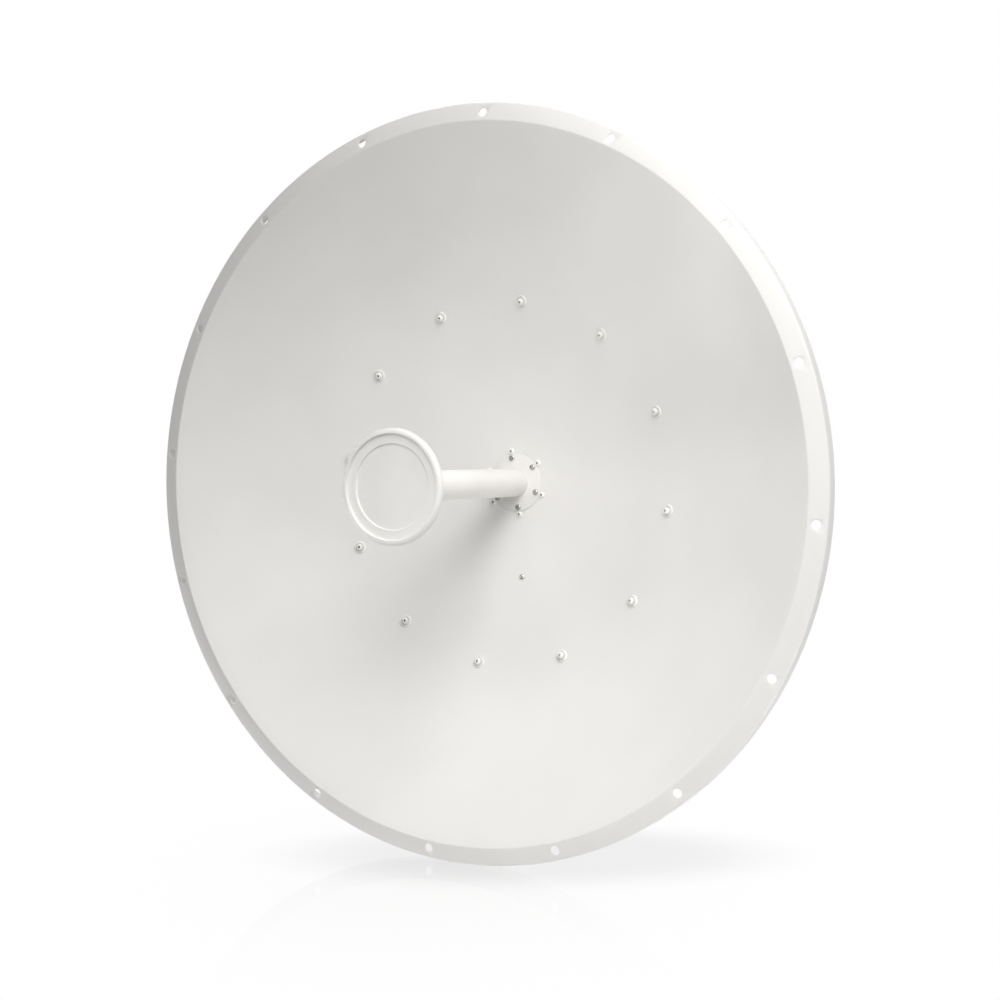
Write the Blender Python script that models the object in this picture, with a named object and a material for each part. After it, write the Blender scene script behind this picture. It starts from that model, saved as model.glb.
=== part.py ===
"""Parabolic dish antenna with a front feed and a pole bracket behind it.

Metres, +Z up. The dish looks along -Y. The origin is on the rear face of the pole bracket, level with
the dish's axis. A depth is measured along the axis from the plane of the rim's holes, positive to the
rear, so y = depth - bracket_face.
"""

import math

import bmesh
import bpy
from mathutils import Vector

for old in list(bpy.data.objects):
    bpy.data.objects.remove(old)

gap = 0.0003

# Reflector
dish_radius = 0.525
bowl_radius = 0.4997
focal_length = 0.345
sheet = 0.002
hole_circle = 0.5106
hole_count = 16
hole_radius = 0.0062
hole_index = math.radians(-0.95)
bowl_edge_depth = -0.0022
flange_slope = math.radians(11.5)
lip_depth = 0.022
lip_corner = 0.003
corner_steps = 3
hub_flat = 0.052
hub_bore = 0.0425
bowl_steps = 80
bowl_stretches = 8

# Feed
flange_radius = 0.0422
flange_proud = 0.0012
flange_chamfer = 0.0006
tube_radius = 0.0207
tube_wall = 0.002
plate_radius = 0.062
plate_thickness = 0.003
disc_radius = 0.0762
disc_front = -0.1652
disc_thickness = 0.0145
disc_rim_inner = 0.0689
disc_step_inner = 0.0561
disc_first_step = 0.0027
disc_second_step = 0.0017
disc_edge = 0.0048
disc_draft = 0.0008
disc_back_chamfer = 0.003
disc_arc_steps = 4
cone_radius = 0.060
cone_length = 0.040
cone_lip = 0.004
cone_collar = 0.0255
collar_length = 0.014

# Radio housing
housing_width = 0.074
housing_length = 0.038
housing_corner = 0.010
cover_overlap = 0.002
cover_thickness = 0.004
connector_spacing = 0.034
connector_hex = 0.0105
connector_hex_height = 0.005
connector_neck = 0.0072
connector_neck_height = 0.003
connector_barrel = 0.0079
connector_length = 0.020

# Frame behind the reflector
rivet_circle = 0.2658
seat_width = 0.026
ring_gauge = 0.0025
ring_back = 0.182
ring_inner = 0.206
ring_corner = 0.230
channel_width = 0.040
channel_depth = 0.022
channel_gauge = 0.003
fold_radius = 0.004
upright_offset = 0.095
upright_length = 0.424
cross_height = 0.140

# Pole bracket
bracket_face = 0.270
plate_gauge = 0.004
bracket_height = 0.140
plain_face_half = 0.036
leg_front = 0.214
ear_height = 0.150
ear_clearance = 0.006
ear_taper = 0.010
ear_corner = 0.022
pivot_depth = 0.236
pivot_height = -0.044
lock_radius = 0.086
slot_half_angle = math.radians(9)

# Bolts, nuts and the pole clamp
bolt_radius = 0.0049
bolt_clearance = 0.0055
bolt_end = 0.004
nut_apothem = 0.0083
nut_height = 0.007
washer_radius = 0.0105
washer_height = 0.0018
pole_radius = 0.03015
saddle_height = 0.026
saddle_offset = 0.050
saddle_half_width = 0.060
saddle_web = 0.010
jaw_rise = 0.026
jaw_shoulder = 0.036
jaw_land = 0.004
rod_offset = 0.048
rod_tail = 0.030

vertex_depth = bowl_edge_depth + bowl_radius**2 / (4 * focal_length)


def surface(name, color, metallic, roughness):
    material = bpy.data.materials.new(name)
    material.use_nodes = True
    shader = material.node_tree.nodes["Principled BSDF"]
    shader.inputs["Base Color"].default_value = (*color, 1)
    shader.inputs["Metallic"].default_value = metallic
    shader.inputs["Roughness"].default_value = roughness
    return material


def white_paint(name):
    return surface(name, (0.80, 0.80, 0.78), 0.0, 0.45)


def grey_plastic(name):
    return surface(name, (0.62, 0.62, 0.60), 0.0, 0.5)


def zinc(name):
    return surface(name, (0.55, 0.56, 0.57), 1.0, 0.4)


def finished(name, bm, material, smooth_angle=math.radians(35)):
    """Turn a bmesh into a named object with its faces out and its round sides shaded smooth."""
    bmesh.ops.recalc_face_normals(bm, faces=bm.faces)
    mesh = bpy.data.meshes.new(name)
    bm.to_mesh(mesh)
    bm.free()
    mesh.shade_smooth()
    mesh.set_sharp_from_angle(angle=smooth_angle)
    obj = bpy.data.objects.new(name, mesh)
    bpy.context.collection.objects.link(obj)
    if material:
        mesh.materials.append(material)
    return obj


def at_depth(x, depth, z):
    return Vector((x, depth - bracket_face, z))


def along_x(depth, z, x):
    return at_depth(x, depth, z)


def along_y(x, z, depth):
    return at_depth(x, depth, z)


def along_z(x, depth, z):
    return at_depth(x, depth, z)


def turned(name, outline, material, steps=40, closed=True):
    """Spin an outline of (radius, depth) points about the dish's axis. An open one ends on the axis."""
    bm = bmesh.new()
    verts = [bm.verts.new(at_depth(radius, depth, 0)) for radius, depth in outline]
    pairs = list(zip(verts, verts[1:]))
    if closed:
        pairs.append((verts[-1], verts[0]))
    edges = [bm.edges.new(pair) for pair in pairs]
    bmesh.ops.spin(bm, geom=verts + edges, cent=(0, 0, 0), axis=(0, 1, 0), angle=math.tau, steps=steps)
    bmesh.ops.remove_doubles(bm, verts=bm.verts, dist=1e-5)
    return finished(name, bm, material)


def extrude_outline(bm, outline, low, high, place):
    """Add a prism over a flat outline of (a, b) points. place turns (a, b, c) into a point."""
    face = bm.faces.new([bm.verts.new(place(a, b, low)) for a, b in outline])
    moved = bmesh.ops.extrude_face_region(bm, geom=[face])["geom"]
    shift = place(0, 0, high) - place(0, 0, low)
    bmesh.ops.translate(bm, vec=shift, verts=[v for v in moved if isinstance(v, bmesh.types.BMVert)])


def prism(name, outline, low, high, place, material):
    """Extruded outline."""
    bm = bmesh.new()
    extrude_outline(bm, outline, low, high, place)
    return finished(name, bm, material)


def rounded(points, radius, steps=4):
    """Replace each corner of an outline by an arc. radius is one value, or one for each corner."""
    radii = radius if isinstance(radius, list) else [radius] * len(points)
    outline = []
    for i, corner in enumerate(points):
        here = Vector(corner)
        if radii[i] == 0:
            outline.append(tuple(here))
            continue
        before = (Vector(points[i - 1]) - here).normalized()
        after = (Vector(points[(i + 1) % len(points)]) - here).normalized()
        half = before.angle(after) / 2
        centre = here + (before + after).normalized() * radii[i] / math.sin(half)
        reach = radii[i] / math.tan(half)
        first = here + before * reach - centre
        last = here + after * reach - centre
        for k in range(steps + 1):
            spoke = first.lerp(last, k / steps).normalized() * radii[i]
            outline.append(tuple(centre + spoke))
    return outline


def stacked(name, stations, start, direction, material, steps=12):
    """Loft rings along a direction. A station is (radius, distance, sides): 0 sides is round, and
    otherwise the radius is half the width across flats."""
    bm = bmesh.new()
    direction = Vector(direction)
    side = direction.orthogonal().normalized()
    up = direction.cross(side)
    rings = []
    for radius, distance, sides in stations:
        ring = []
        for k in range(steps):
            angle = math.tau * k / steps
            reach = radius
            if sides:
                reach = radius / math.cos(angle % (math.tau / sides) - math.pi / sides)
            spoke = side * math.cos(angle) + up * math.sin(angle)
            ring.append(bm.verts.new(Vector(start) + direction * distance + spoke * reach))
        rings.append(ring)
    for ring, following in zip(rings, rings[1:]):
        for k in range(steps):
            after = (k + 1) % steps
            bm.faces.new((ring[k], ring[after], following[after], following[k]))
    bm.faces.new(rings[0])
    bm.faces.new(rings[-1])
    return finished(name, bm, material)


def cutter(name, holes, direction, reach, radius=bolt_clearance, slot=None):
    """Guide object with a round prism through each point, and through a slot's outline along X."""
    bm = bmesh.new()
    turn = Vector((0, 0, 1)).rotation_difference(Vector(direction)).to_matrix().to_4x4()
    for hole in holes:
        made = bmesh.ops.create_cone(bm, cap_ends=True, segments=16, radius1=radius, radius2=radius,
                                     depth=2 * reach, matrix=turn)["verts"]
        bmesh.ops.translate(bm, vec=hole, verts=made)
    if slot:
        extrude_outline(bm, slot, -reach, reach, along_x)
    obj = finished(name, bm, None)
    obj.hide_render = True
    obj.display_type = "WIRE"
    return obj


def cut(obj, tool):
    modifier = obj.modifiers.new(tool.name, "BOOLEAN")
    modifier.operation = "DIFFERENCE"
    modifier.object = tool


def divide(obj, heights):
    """Apply the cuts of an object and divide its faces at some heights."""
    bm = bmesh.new()
    bpy.context.view_layer.update()
    bm.from_object(obj, bpy.context.evaluated_depsgraph_get())
    for height in heights:
        geometry = list(bm.verts) + list(bm.edges) + list(bm.faces)
        bmesh.ops.bisect_plane(bm, geom=geometry, plane_co=(0, 0, height), plane_no=(0, 0, 1))
    for modifier in obj.modifiers:
        bpy.data.objects.remove(modifier.object)
    obj.modifiers.clear()
    bm.to_mesh(obj.data)
    bm.free()


def bowl_depth(radius):
    """Depth of the bowl's front surface, flat where the feed is seated."""
    return vertex_depth - max(radius, hub_flat) ** 2 / (4 * focal_length)


def bowl_offset(radius, distance):
    """Point (radius, depth) that lies a distance behind the bowl's front surface, along its normal."""
    slope = 0 if radius <= hub_flat else radius / (2 * focal_length)
    length = math.hypot(slope, 1)
    return (radius + distance * slope / length, bowl_depth(radius) + distance / length)


def flange_depth(radius):
    """Depth of the rim flange's front surface, extended to any radius."""
    return bowl_edge_depth + (radius - bowl_radius) * math.tan(flange_slope)


def reflector():
    """Spun bowl, its sloping rim flange and the lip that is turned back from it."""
    radii = [hub_bore, hub_flat]
    for k in range(1, bowl_stretches + 1):
        radii.append(hub_flat + (bowl_radius - hub_flat) * k / bowl_stretches)
    front = [(radius, bowl_depth(radius)) for radius in radii]
    centre_radius = dish_radius - lip_corner
    centre_depth = flange_depth(centre_radius) + lip_corner / math.cos(flange_slope)
    corner = []
    for k in range(corner_steps + 1):
        turn = flange_slope + (math.pi / 2 - flange_slope) * k / corner_steps
        spoke = (lip_corner * math.sin(turn), -lip_corner * math.cos(turn))
        corner.append((centre_radius + spoke[0], centre_depth + spoke[1]))
    lip_end = flange_depth(dish_radius) + lip_depth
    inner_lip = dish_radius - sheet
    lip = [(dish_radius, lip_end), (inner_lip, lip_end)]
    lip.append((inner_lip, flange_depth(inner_lip) + sheet / math.cos(flange_slope)))
    edge_slope = math.atan(bowl_radius / (2 * focal_length))
    bowl_normal = Vector((math.sin(edge_slope), math.cos(edge_slope)))
    flange_normal = Vector((-math.sin(flange_slope), math.cos(flange_slope)))
    bend = (bowl_normal + flange_normal) * sheet / (1 + bowl_normal.dot(flange_normal))
    back_bend = (bowl_radius + bend.x, bowl_edge_depth + bend.y)
    back = [bowl_offset(radius, sheet) for radius in reversed(radii[:-1])]
    outline = front + corner + lip + [back_bend] + back
    dish = turned("reflector", outline, white_paint("dish_paint"), bowl_steps)
    holes = []
    for k in range(hole_count):
        angle = math.pi / 2 + math.tau * (k + 0.5) / hole_count + hole_index
        holes.append(at_depth(hole_circle * math.cos(angle), 0, hole_circle * math.sin(angle)))
    cut(dish, cutter("rim_hole_cutter", holes, (0, 1, 0), lip_depth / 2, hole_radius))


def feed():
    """Flange in the hub's bore, tube, cone and the sub-reflector disc in front of them."""
    flange_front = bowl_depth(0) - flange_proud
    plate_front = bowl_depth(0) + sheet + gap
    plate_back = plate_front + plate_thickness
    bore = tube_radius + gap
    turned("feed_flange", [
        (bore, flange_front),
        (flange_radius - flange_chamfer, flange_front),
        (flange_radius, flange_front + flange_chamfer),
        (flange_radius, plate_front - gap),
        (bore, plate_front - gap),
    ], white_paint("flange_paint"))
    turned("hub_plate", [
        (bore, plate_front),
        (plate_radius, plate_front),
        (plate_radius, plate_back),
        (bore, plate_back),
    ], white_paint("plate_paint"))
    disc_back = disc_front + disc_thickness
    cone_front = disc_back + gap
    cone_back = cone_front + cone_length
    turned("feed_tube", [
        (tube_radius - tube_wall, cone_back + gap),
        (tube_radius, cone_back + gap),
        (tube_radius, plate_back),
        (tube_radius - tube_wall, plate_back),
    ], white_paint("tube_paint"))
    turned("feed_cone", [
        (0, cone_front),
        (cone_radius, cone_front),
        (cone_radius, cone_front + cone_lip),
        (cone_collar, cone_back),
        (cone_collar, cone_back + collar_length),
        (bore, cone_back + collar_length),
        (bore, cone_back),
        (0, cone_back),
    ], grey_plastic("cone_plastic"), closed=False)
    sub_reflector(disc_back)
    housing(plate_back + gap)


def sub_reflector(disc_back):
    """Moulded disc with a rounded rim and a face that steps down twice."""
    first_floor = disc_front + disc_first_step
    second_floor = first_floor + disc_second_step
    crest = disc_radius - disc_edge
    outline = [
        (0, second_floor),
        (disc_step_inner - disc_draft, second_floor),
        (disc_step_inner, first_floor),
        (disc_rim_inner - disc_draft, first_floor),
        (disc_rim_inner, disc_front + disc_draft),
        (disc_rim_inner + disc_draft, disc_front),
    ]
    for k in range(disc_arc_steps + 1):
        turn = math.pi / 2 * k / disc_arc_steps
        outline.append((crest + disc_edge * math.sin(turn), disc_front + disc_edge * (1 - math.cos(turn))))
    outline.append((disc_radius, disc_back - disc_back_chamfer))
    outline.append((disc_radius - disc_back_chamfer, disc_back))
    outline.append((0, disc_back))
    turned("sub_reflector", outline, white_paint("disc_paint"), steps=48, closed=False)


def square(half, corner):
    return rounded([(-half, -half), (half, -half), (half, half), (-half, half)], corner)


def housing(front):
    """Radio housing behind the hub, its cover and the two sockets under it."""
    half = housing_width / 2
    back = front + housing_length
    prism("feed_housing", square(half, housing_corner), front, back, along_y, grey_plastic("housing_plastic"))
    prism("housing_cover", square(half + cover_overlap, housing_corner + cover_overlap), back + gap,
          back + gap + cover_thickness, along_y, grey_plastic("cover_plastic"))
    neck_end = connector_hex_height + connector_neck_height
    for side, word in ((-1, "left"), (1, "right")):
        start = at_depth(side * connector_spacing / 2, (front + back) / 2, -half - gap)
        stacked("rf_connector_" + word, [
            (connector_hex, 0, 6),
            (connector_hex, connector_hex_height, 6),
            (connector_neck, connector_hex_height, 0),
            (connector_neck, neck_end, 0),
            (connector_barrel, neck_end, 0),
            (connector_barrel, connector_length, 0),
        ], start, (0, 0, -1), zinc("connector_plating_" + word), steps=24)


def back_ring():
    """Drum-like stiffening ring: an outer seat riveted to the bowl, a conical web and a flat flange."""
    seat = sheet + gap
    inner_seat = rivet_circle - seat_width / 2
    outer_seat = rivet_circle + seat_width / 2
    web_angle = math.atan2(inner_seat - ring_corner, ring_back - bowl_depth(inner_seat))
    web = ring_gauge / math.cos(web_angle)
    turned("stiffener_ring", [
        bowl_offset(outer_seat, seat),
        bowl_offset(rivet_circle, seat),
        bowl_offset(inner_seat, seat),
        (ring_corner - web, ring_back - ring_gauge),
        (ring_inner, ring_back - ring_gauge),
        (ring_inner, ring_back),
        (ring_corner, ring_back),
        bowl_offset(inner_seat + web, seat + ring_gauge),
        bowl_offset(rivet_circle, seat + ring_gauge),
        bowl_offset(outer_seat, seat + ring_gauge),
    ], white_paint("ring_paint"), steps=60)


def channel_outline():
    """Folded channel, centred in width, with its web at 0 and its legs to the rear."""
    half = channel_width / 2
    inner = half - channel_gauge
    return rounded([
        (-half, 0), (half, 0), (half, channel_depth), (inner, channel_depth), (inner, channel_gauge),
        (-inner, channel_gauge), (-inner, channel_depth), (-half, channel_depth),
    ], [fold_radius, fold_radius, 0, 0, fold_radius / 4, fold_radius / 4, 0, 0], steps=3)


def frame():
    """Two uprights across the ring's flat flange and two bars between them."""
    front = ring_back + gap
    for side, word in ((-1, "left"), (1, "right")):
        shifted = [(side * upright_offset + x, front + depth) for x, depth in channel_outline()]
        prism("upright_" + word, shifted, -upright_length / 2, upright_length / 2, along_z,
              white_paint("upright_paint_" + word))
    reach = upright_offset - channel_width / 2 - gap
    for side, word in ((1, "upper"), (-1, "lower")):
        shifted = [(front + depth, side * cross_height + z) for z, depth in channel_outline()]
        prism("cross_bar_" + word, shifted, -reach, reach, along_x, white_paint("bar_paint_" + word))


def arc_slot(radius, half_width, half_angle, steps=8):
    """Outline of a curved slot above the pivot, in (depth, height)."""
    turns = [math.pi / 2 - half_angle + 2 * half_angle * k / steps for k in range(steps + 1)]
    points = [(radius + half_width, turn) for turn in turns]
    points += [(radius - half_width, turn) for turn in reversed(turns)]
    return [(pivot_depth + r * math.cos(turn), pivot_height + r * math.sin(turn)) for r, turn in points]


def elevation_bracket():
    """Ears on the uprights, the folded bracket between them and the bolts that hold its tilt."""
    ear_outer = upright_offset - channel_width / 2 - gap
    ear_inner = ear_outer - plate_gauge
    leg_outer = ear_inner - gap
    leg_inner = leg_outer - plate_gauge
    web_front = bracket_face - plate_gauge
    bracket = rounded([
        (-leg_outer, leg_front), (-leg_outer, bracket_face),
        (leg_outer, bracket_face), (leg_outer, leg_front),
        (leg_inner, leg_front), (leg_inner, web_front),
        (-leg_inner, web_front), (-leg_inner, leg_front),
    ], [0, 1.5 * plate_gauge, 1.5 * plate_gauge, 0, 0, plate_gauge / 2, plate_gauge / 2, 0], steps=3)
    folded = prism("pole_bracket", bracket, -bracket_height / 2, bracket_height / 2, along_z,
                   zinc("bracket_plating"))
    pivot = at_depth(0, pivot_depth, pivot_height)
    lock = at_depth(0, pivot_depth, pivot_height + lock_radius)
    cut(folded, cutter("leg_hole_cutter", [pivot, lock], (1, 0, 0), upright_offset))
    rods = [at_depth(x, bracket_face, z) for x in (-rod_offset, rod_offset)
            for z in (-saddle_offset, saddle_offset)]
    cut(folded, cutter("rod_hole_cutter", rods, (0, 1, 0), 2 * plate_gauge))
    divide(folded, (-plain_face_half, plain_face_half))
    half = ear_height / 2
    ear_front = ring_back + gap + channel_gauge
    ear_back = web_front - ear_clearance
    ear = rounded([(ear_front, -half), (ear_back, ear_taper - half), (ear_back, half - ear_taper),
                   (ear_front, half)], [fold_radius, ear_corner, ear_corner, fold_radius])
    slot = arc_slot(lock_radius, bolt_clearance, slot_half_angle)
    ear_cutter = cutter("ear_cutter", [pivot], (1, 0, 0), upright_offset, slot=slot)
    for side, word in ((-1, "left"), (1, "right")):
        low = min(side * ear_inner, side * ear_outer)
        plate = prism("elevation_ear_" + word, ear, low, low + plate_gauge, along_x,
                      zinc("ear_plating_" + word))
        cut(plate, ear_cutter)
        for name, hole in (("pivot_bolt_", pivot), ("lock_bolt_", lock)):
            through_bolt(name + word, hole, side, ear_outer, leg_inner)


def nut_and_washer(start, washer_first):
    """Stations of a nut and its washer, with one of them first, from a distance along the bolt."""
    nut = [(nut_apothem, 0, 6), (nut_apothem, nut_height, 6)]
    washer = [(washer_radius, 0, 0), (washer_radius, washer_height, 0)]
    first, second = (washer, nut) if washer_first else (nut, washer)
    stations = [(radius, start + distance, sides) for radius, distance, sides in first]
    seam = stations[-1][1]
    return stations + [(radius, seam + distance, sides) for radius, distance, sides in second]


def through_bolt(name, hole, side, outer, inner):
    """Hex bolt from outside the ear, through the bracket's leg, with its nut inside."""
    head = washer_height + nut_height
    inside = head + outer - inner + 2 * gap
    stations = nut_and_washer(0, washer_first=False)
    stations += [(bolt_radius, head, 0), (bolt_radius, inside, 0)]
    stations += nut_and_washer(inside, washer_first=True)
    stations += [(bolt_radius, inside + head, 0), (bolt_radius, inside + head + bolt_end, 0)]
    start = hole + Vector((side * (outer + gap + head), 0, 0))
    stacked(name, stations, start, (-side, 0, 0), zinc(name + "_plating"))


def pole_clamp():
    """Two notched saddles on the bracket, two notched clamps behind the pole, and the rods between."""
    saddle_front = bracket_face + gap
    pole_axis = saddle_front + saddle_web + pole_radius * math.sqrt(2)
    clamp_back = 2 * pole_axis - saddle_front
    tip = saddle_web + jaw_rise
    half_jaw = [(saddle_half_width, 0), (saddle_half_width, saddle_web), (jaw_shoulder, tip - jaw_land),
                (jaw_rise, tip)]
    saddle = half_jaw + [(0, saddle_web)] + [(-x, depth) for x, depth in reversed(half_jaw)]
    rods = [at_depth(x, pole_axis, z) for x in (-rod_offset, rod_offset)
            for z in (-saddle_offset, saddle_offset)]
    rod_cutter = cutter("clamp_hole_cutter", rods, (0, 1, 0), clamp_back - pole_axis + gap)
    for level, height in ((1, "upper"), (-1, "lower")):
        low = level * saddle_offset - saddle_height / 2
        front = [(x, saddle_front + depth) for x, depth in saddle]
        rear = [(x, clamp_back - depth) for x, depth in saddle]
        for name, outline in (("pole_saddle_", front), ("pole_clamp_", rear)):
            jaw = prism(name + height, outline, low, low + saddle_height, along_z,
                        zinc(name + "cast_" + height))
            cut(jaw, rod_cutter)
        for side, word in ((-1, "left"), (1, "right")):
            clamp_rod(f"clamp_rod_{height}_{word}", side * rod_offset, level * saddle_offset, clamp_back)


def clamp_rod(name, x, z, clamp_back):
    """Rod with its head inside the bracket and its nut behind the clamp."""
    head_face = bracket_face - plate_gauge - gap
    reach = nut_height + clamp_back + gap - head_face
    end = reach + washer_height + nut_height
    stations = [(nut_apothem, 0, 6), (nut_apothem, nut_height, 6)]
    stations += [(bolt_radius, nut_height, 0), (bolt_radius, reach, 0)]
    stations += nut_and_washer(reach, washer_first=True)
    stations += [(bolt_radius, end, 0), (bolt_radius, end + rod_tail, 0)]
    stacked(name, stations, at_depth(x, head_face - nut_height, z), (0, 1, 0), zinc(name + "_plating"))


reflector()
feed()
back_ring()
frame()
elevation_bracket()
pole_clamp()
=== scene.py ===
import math

import bmesh
import bpy
from mathutils import Matrix, Vector


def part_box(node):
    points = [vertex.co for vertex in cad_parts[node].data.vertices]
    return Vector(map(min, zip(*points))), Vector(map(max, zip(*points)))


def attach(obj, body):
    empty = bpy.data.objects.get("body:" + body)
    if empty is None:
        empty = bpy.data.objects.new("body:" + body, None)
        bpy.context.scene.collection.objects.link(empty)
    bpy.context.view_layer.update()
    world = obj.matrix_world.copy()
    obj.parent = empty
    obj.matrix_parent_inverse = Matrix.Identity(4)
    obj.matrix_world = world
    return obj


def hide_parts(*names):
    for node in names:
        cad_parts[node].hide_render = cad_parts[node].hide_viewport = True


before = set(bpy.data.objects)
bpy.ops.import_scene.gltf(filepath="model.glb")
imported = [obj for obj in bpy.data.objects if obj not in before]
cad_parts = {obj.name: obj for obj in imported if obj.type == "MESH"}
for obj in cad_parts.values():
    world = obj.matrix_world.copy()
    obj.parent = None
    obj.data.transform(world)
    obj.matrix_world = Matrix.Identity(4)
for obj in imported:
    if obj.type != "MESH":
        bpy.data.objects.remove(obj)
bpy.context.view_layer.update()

# Metres, +Z up. The dish looks along -Y. A depth is measured along the dish's axis from the plane of
# the rim's holes, positive to the rear. An angle is measured from +X towards +Z, seen from the front.
rimPlane = -0.270
rimCentre = Vector((0, rimPlane, 0))
toFront = (0, -1, 0)
toRear = (0, 1, 0)
turnedOver = Matrix.Rotation(math.pi, 4, "X")
scene = bpy.context.scene
scene.view_settings.view_transform = "Standard"    # whites stay white, as in a product shot


def atDepth(x, depth, z):
    return Vector((x, depth + rimPlane, z))


def span(node):
    # Front and back depth of a CAD node.
    low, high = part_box(node)
    return low.y - rimPlane, high.y - rimPlane


# Colours and materials

def linear(hexColour):
    parts = [int(hexColour[i:i + 2], 16) / 255 for i in (1, 3, 5)]
    return tuple(c / 12.92 if c <= 0.04045 else ((c + 0.055) / 1.055) ** 2.4 for c in parts) + (1.0,)


def addNode(tree, kind, settings=None, links=None):
    # A socket goes by its name, or by its number where the first one of that name isn't meant.
    node = tree.nodes.new(kind)
    for name, value in (settings or {}).items():
        if isinstance(name, int) or name in node.inputs:
            node.inputs[name].default_value = value
        else:
            setattr(node, name, value)
    for name, source in (links or {}).items():
        tree.links.new(source, node.inputs[name])
    return node


def startMaterial(look):
    material = bpy.data.materials.new(look["name"])
    material.use_nodes = True
    tree = material.node_tree
    shader = tree.nodes["Principled BSDF"]
    shader.inputs["Metallic"].default_value = look.get("metallic", 0.0)
    if "ior" in look:
        shader.inputs["IOR"].default_value = look["ior"]
    place = addNode(tree, "ShaderNodeTexCoord")
    return material, tree, shader, place.outputs["Object"]


def spread(tree, shader, look, factor):
    # The colour and the roughness both go from one value to the other with the same factor.
    colours = addNode(tree, "ShaderNodeMix", {
        "data_type": "RGBA", 6: linear(look["colour"]), 7: linear(look["colourTwo"]),
    }, {"Factor": factor})
    tree.links.new(colours.outputs[2], shader.inputs["Base Color"])
    rough = addNode(tree, "ShaderNodeMapRange", {
        "To Min": look["roughness"][0], "To Max": look["roughness"][1],
    }, {"Value": factor})
    tree.links.new(rough.outputs["Result"], shader.inputs["Roughness"])


def drift(tree, where, millimetres):
    # A slow change from 0 to 1 over the surface, in patches about this wide.
    noise = addNode(tree, "ShaderNodeTexNoise", {"Scale": 1000 / millimetres}, {"Vector": where})
    steep = addNode(tree, "ShaderNodeMapRange", {
        "From Min": 0.3, "From Max": 0.7,    # the noise seldom leaves this range
    }, {"Value": noise.outputs["Fac"]})
    return steep.outputs["Result"]


def grain(tree, shader, where, look):
    noise = addNode(tree, "ShaderNodeTexNoise", {"Scale": 1000 / look["grainSize"]}, {"Vector": where})
    bump = addNode(tree, "ShaderNodeBump", {
        "Strength": look["grainStrength"], "Distance": look["grainHeight"] / 1000,
    }, {"Height": noise.outputs["Fac"]})
    tree.links.new(bump.outputs["Normal"], shader.inputs["Normal"])


def evenFinish(look):
    # Colour and polish drift slowly over the surface, under one fine grain.
    material, tree, shader, where = startMaterial(look)
    spread(tree, shader, look, drift(tree, where, look["drift"]))
    grain(tree, shader, where, look)
    return material


def spangledFinish(look):
    # Each crystal of the coat has its own brightness and polish.
    material, tree, shader, where = startMaterial(look)
    crystals = addNode(tree, "ShaderNodeTexVoronoi", {"Scale": 1000 / look["spangle"]}, {"Vector": where})
    tone = addNode(tree, "ShaderNodeSeparateColor", None, {"Color": crystals.outputs["Color"]})
    spread(tree, shader, look, tone.outputs["Red"])
    grain(tree, shader, where, look)
    return material


# In the looks below, drift, spangle, grainSize and grainHeight are in millimetres.

# Polyester powder coat on spun aluminium, sprayed and baked: a satin white with a fine orange peel.
# The real peel is about 2 mm wide and is drawn at 4 mm, so that it shows at all.
powderCoat = {
    "name": "whitePowderCoat", "colour": "#eceae7", "colourTwo": "#e7e5e2", "roughness": (0.40, 0.46),
    "ior": 1.5, "grainSize": 4.0, "grainHeight": 0.03, "grainStrength": 0.35, "drift": 180,
}
# The feed's coat: the same powder drawn a touch greyer, as painted shade that dims the tube and flange.
feedCoatPaintedShade = {**powderCoat, "name": "feedPowderCoat", "colour": "#e7e5e2", "colourTwo": "#e2e0dd", "drift": 60}
# The sub-reflector's coat, on die cast metal, greyer again: painted shade that dims the disc's face.
discCoatPaintedShade = {**feedCoatPaintedShade, "name": "discPowderCoat", "colour": "#dfddda", "colourTwo": "#dad8d5"}

# Injection moulded ASA with a spark-eroded texture: soft, slightly warm white that takes no gloss.
# Its real grain of 0.1 mm is drawn at 0.9 mm.
mouldedAsa = {
    "name": "mouldedAsa", "colour": "#dedcd6", "colourTwo": "#d8d6d0", "roughness": (0.50, 0.60),
    "ior": 1.51, "grainSize": 0.9, "grainHeight": 0.05, "grainStrength": 0.5, "drift": 60,
}

# Aluminium, pressure die cast and blasted: a dull, even grey with a sandy grain drawn at 1.2 mm.
dieCast = {
    "name": "dieCastAluminium", "colour": "#a5a7a8", "colourTwo": "#93969a", "roughness": (0.48, 0.60),
    "metallic": 1.0, "grainSize": 1.2, "grainHeight": 0.08, "grainStrength": 0.6, "drift": 30,
}

# Steel bolts, zinc plated and blue passivated: bright with a faint blue to straw cast.
zincPlate = {
    "name": "zincPlatedSteel", "colour": "#c6cad1", "colourTwo": "#cfccc2", "roughness": (0.24, 0.36),
    "metallic": 1.0, "grainSize": 1.5, "grainHeight": 0.02, "grainStrength": 0.3, "drift": 8,
}

# A2 stainless screws, cold headed: a hard bright head with faint forming marks.
stainless = {
    "name": "stainlessSteel", "colour": "#d2d0cc", "colourTwo": "#c4c2be", "roughness": (0.10, 0.18),
    "metallic": 1.0, "grainSize": 1.0, "grainHeight": 0.02, "grainStrength": 0.4, "drift": 4,
}

# Steel mandrels, drawn and oiled, broken off in the rivets' bores: a dark grey, almost without shine, that
# is partly the steel's own and partly painted shade deepening the bores.
mandrelPaintedShade = {
    "name": "drawnSteelMandrel", "colour": "#4a4a4b", "colourTwo": "#3a3a3c", "roughness": (0.45, 0.60),
    "metallic": 1.0, "grainSize": 0.6, "grainHeight": 0.03, "grainStrength": 0.4, "drift": 2,
}

# Brass sockets, turned and nickel plated: warm bright metal.
nickel = {
    "name": "nickelPlatedBrass", "colour": "#c4bdae", "colourTwo": "#b8b1a2", "roughness": (0.18, 0.28),
    "metallic": 1.0, "grainSize": 1.0, "grainHeight": 0.02, "grainStrength": 0.3, "drift": 6,
}

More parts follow.
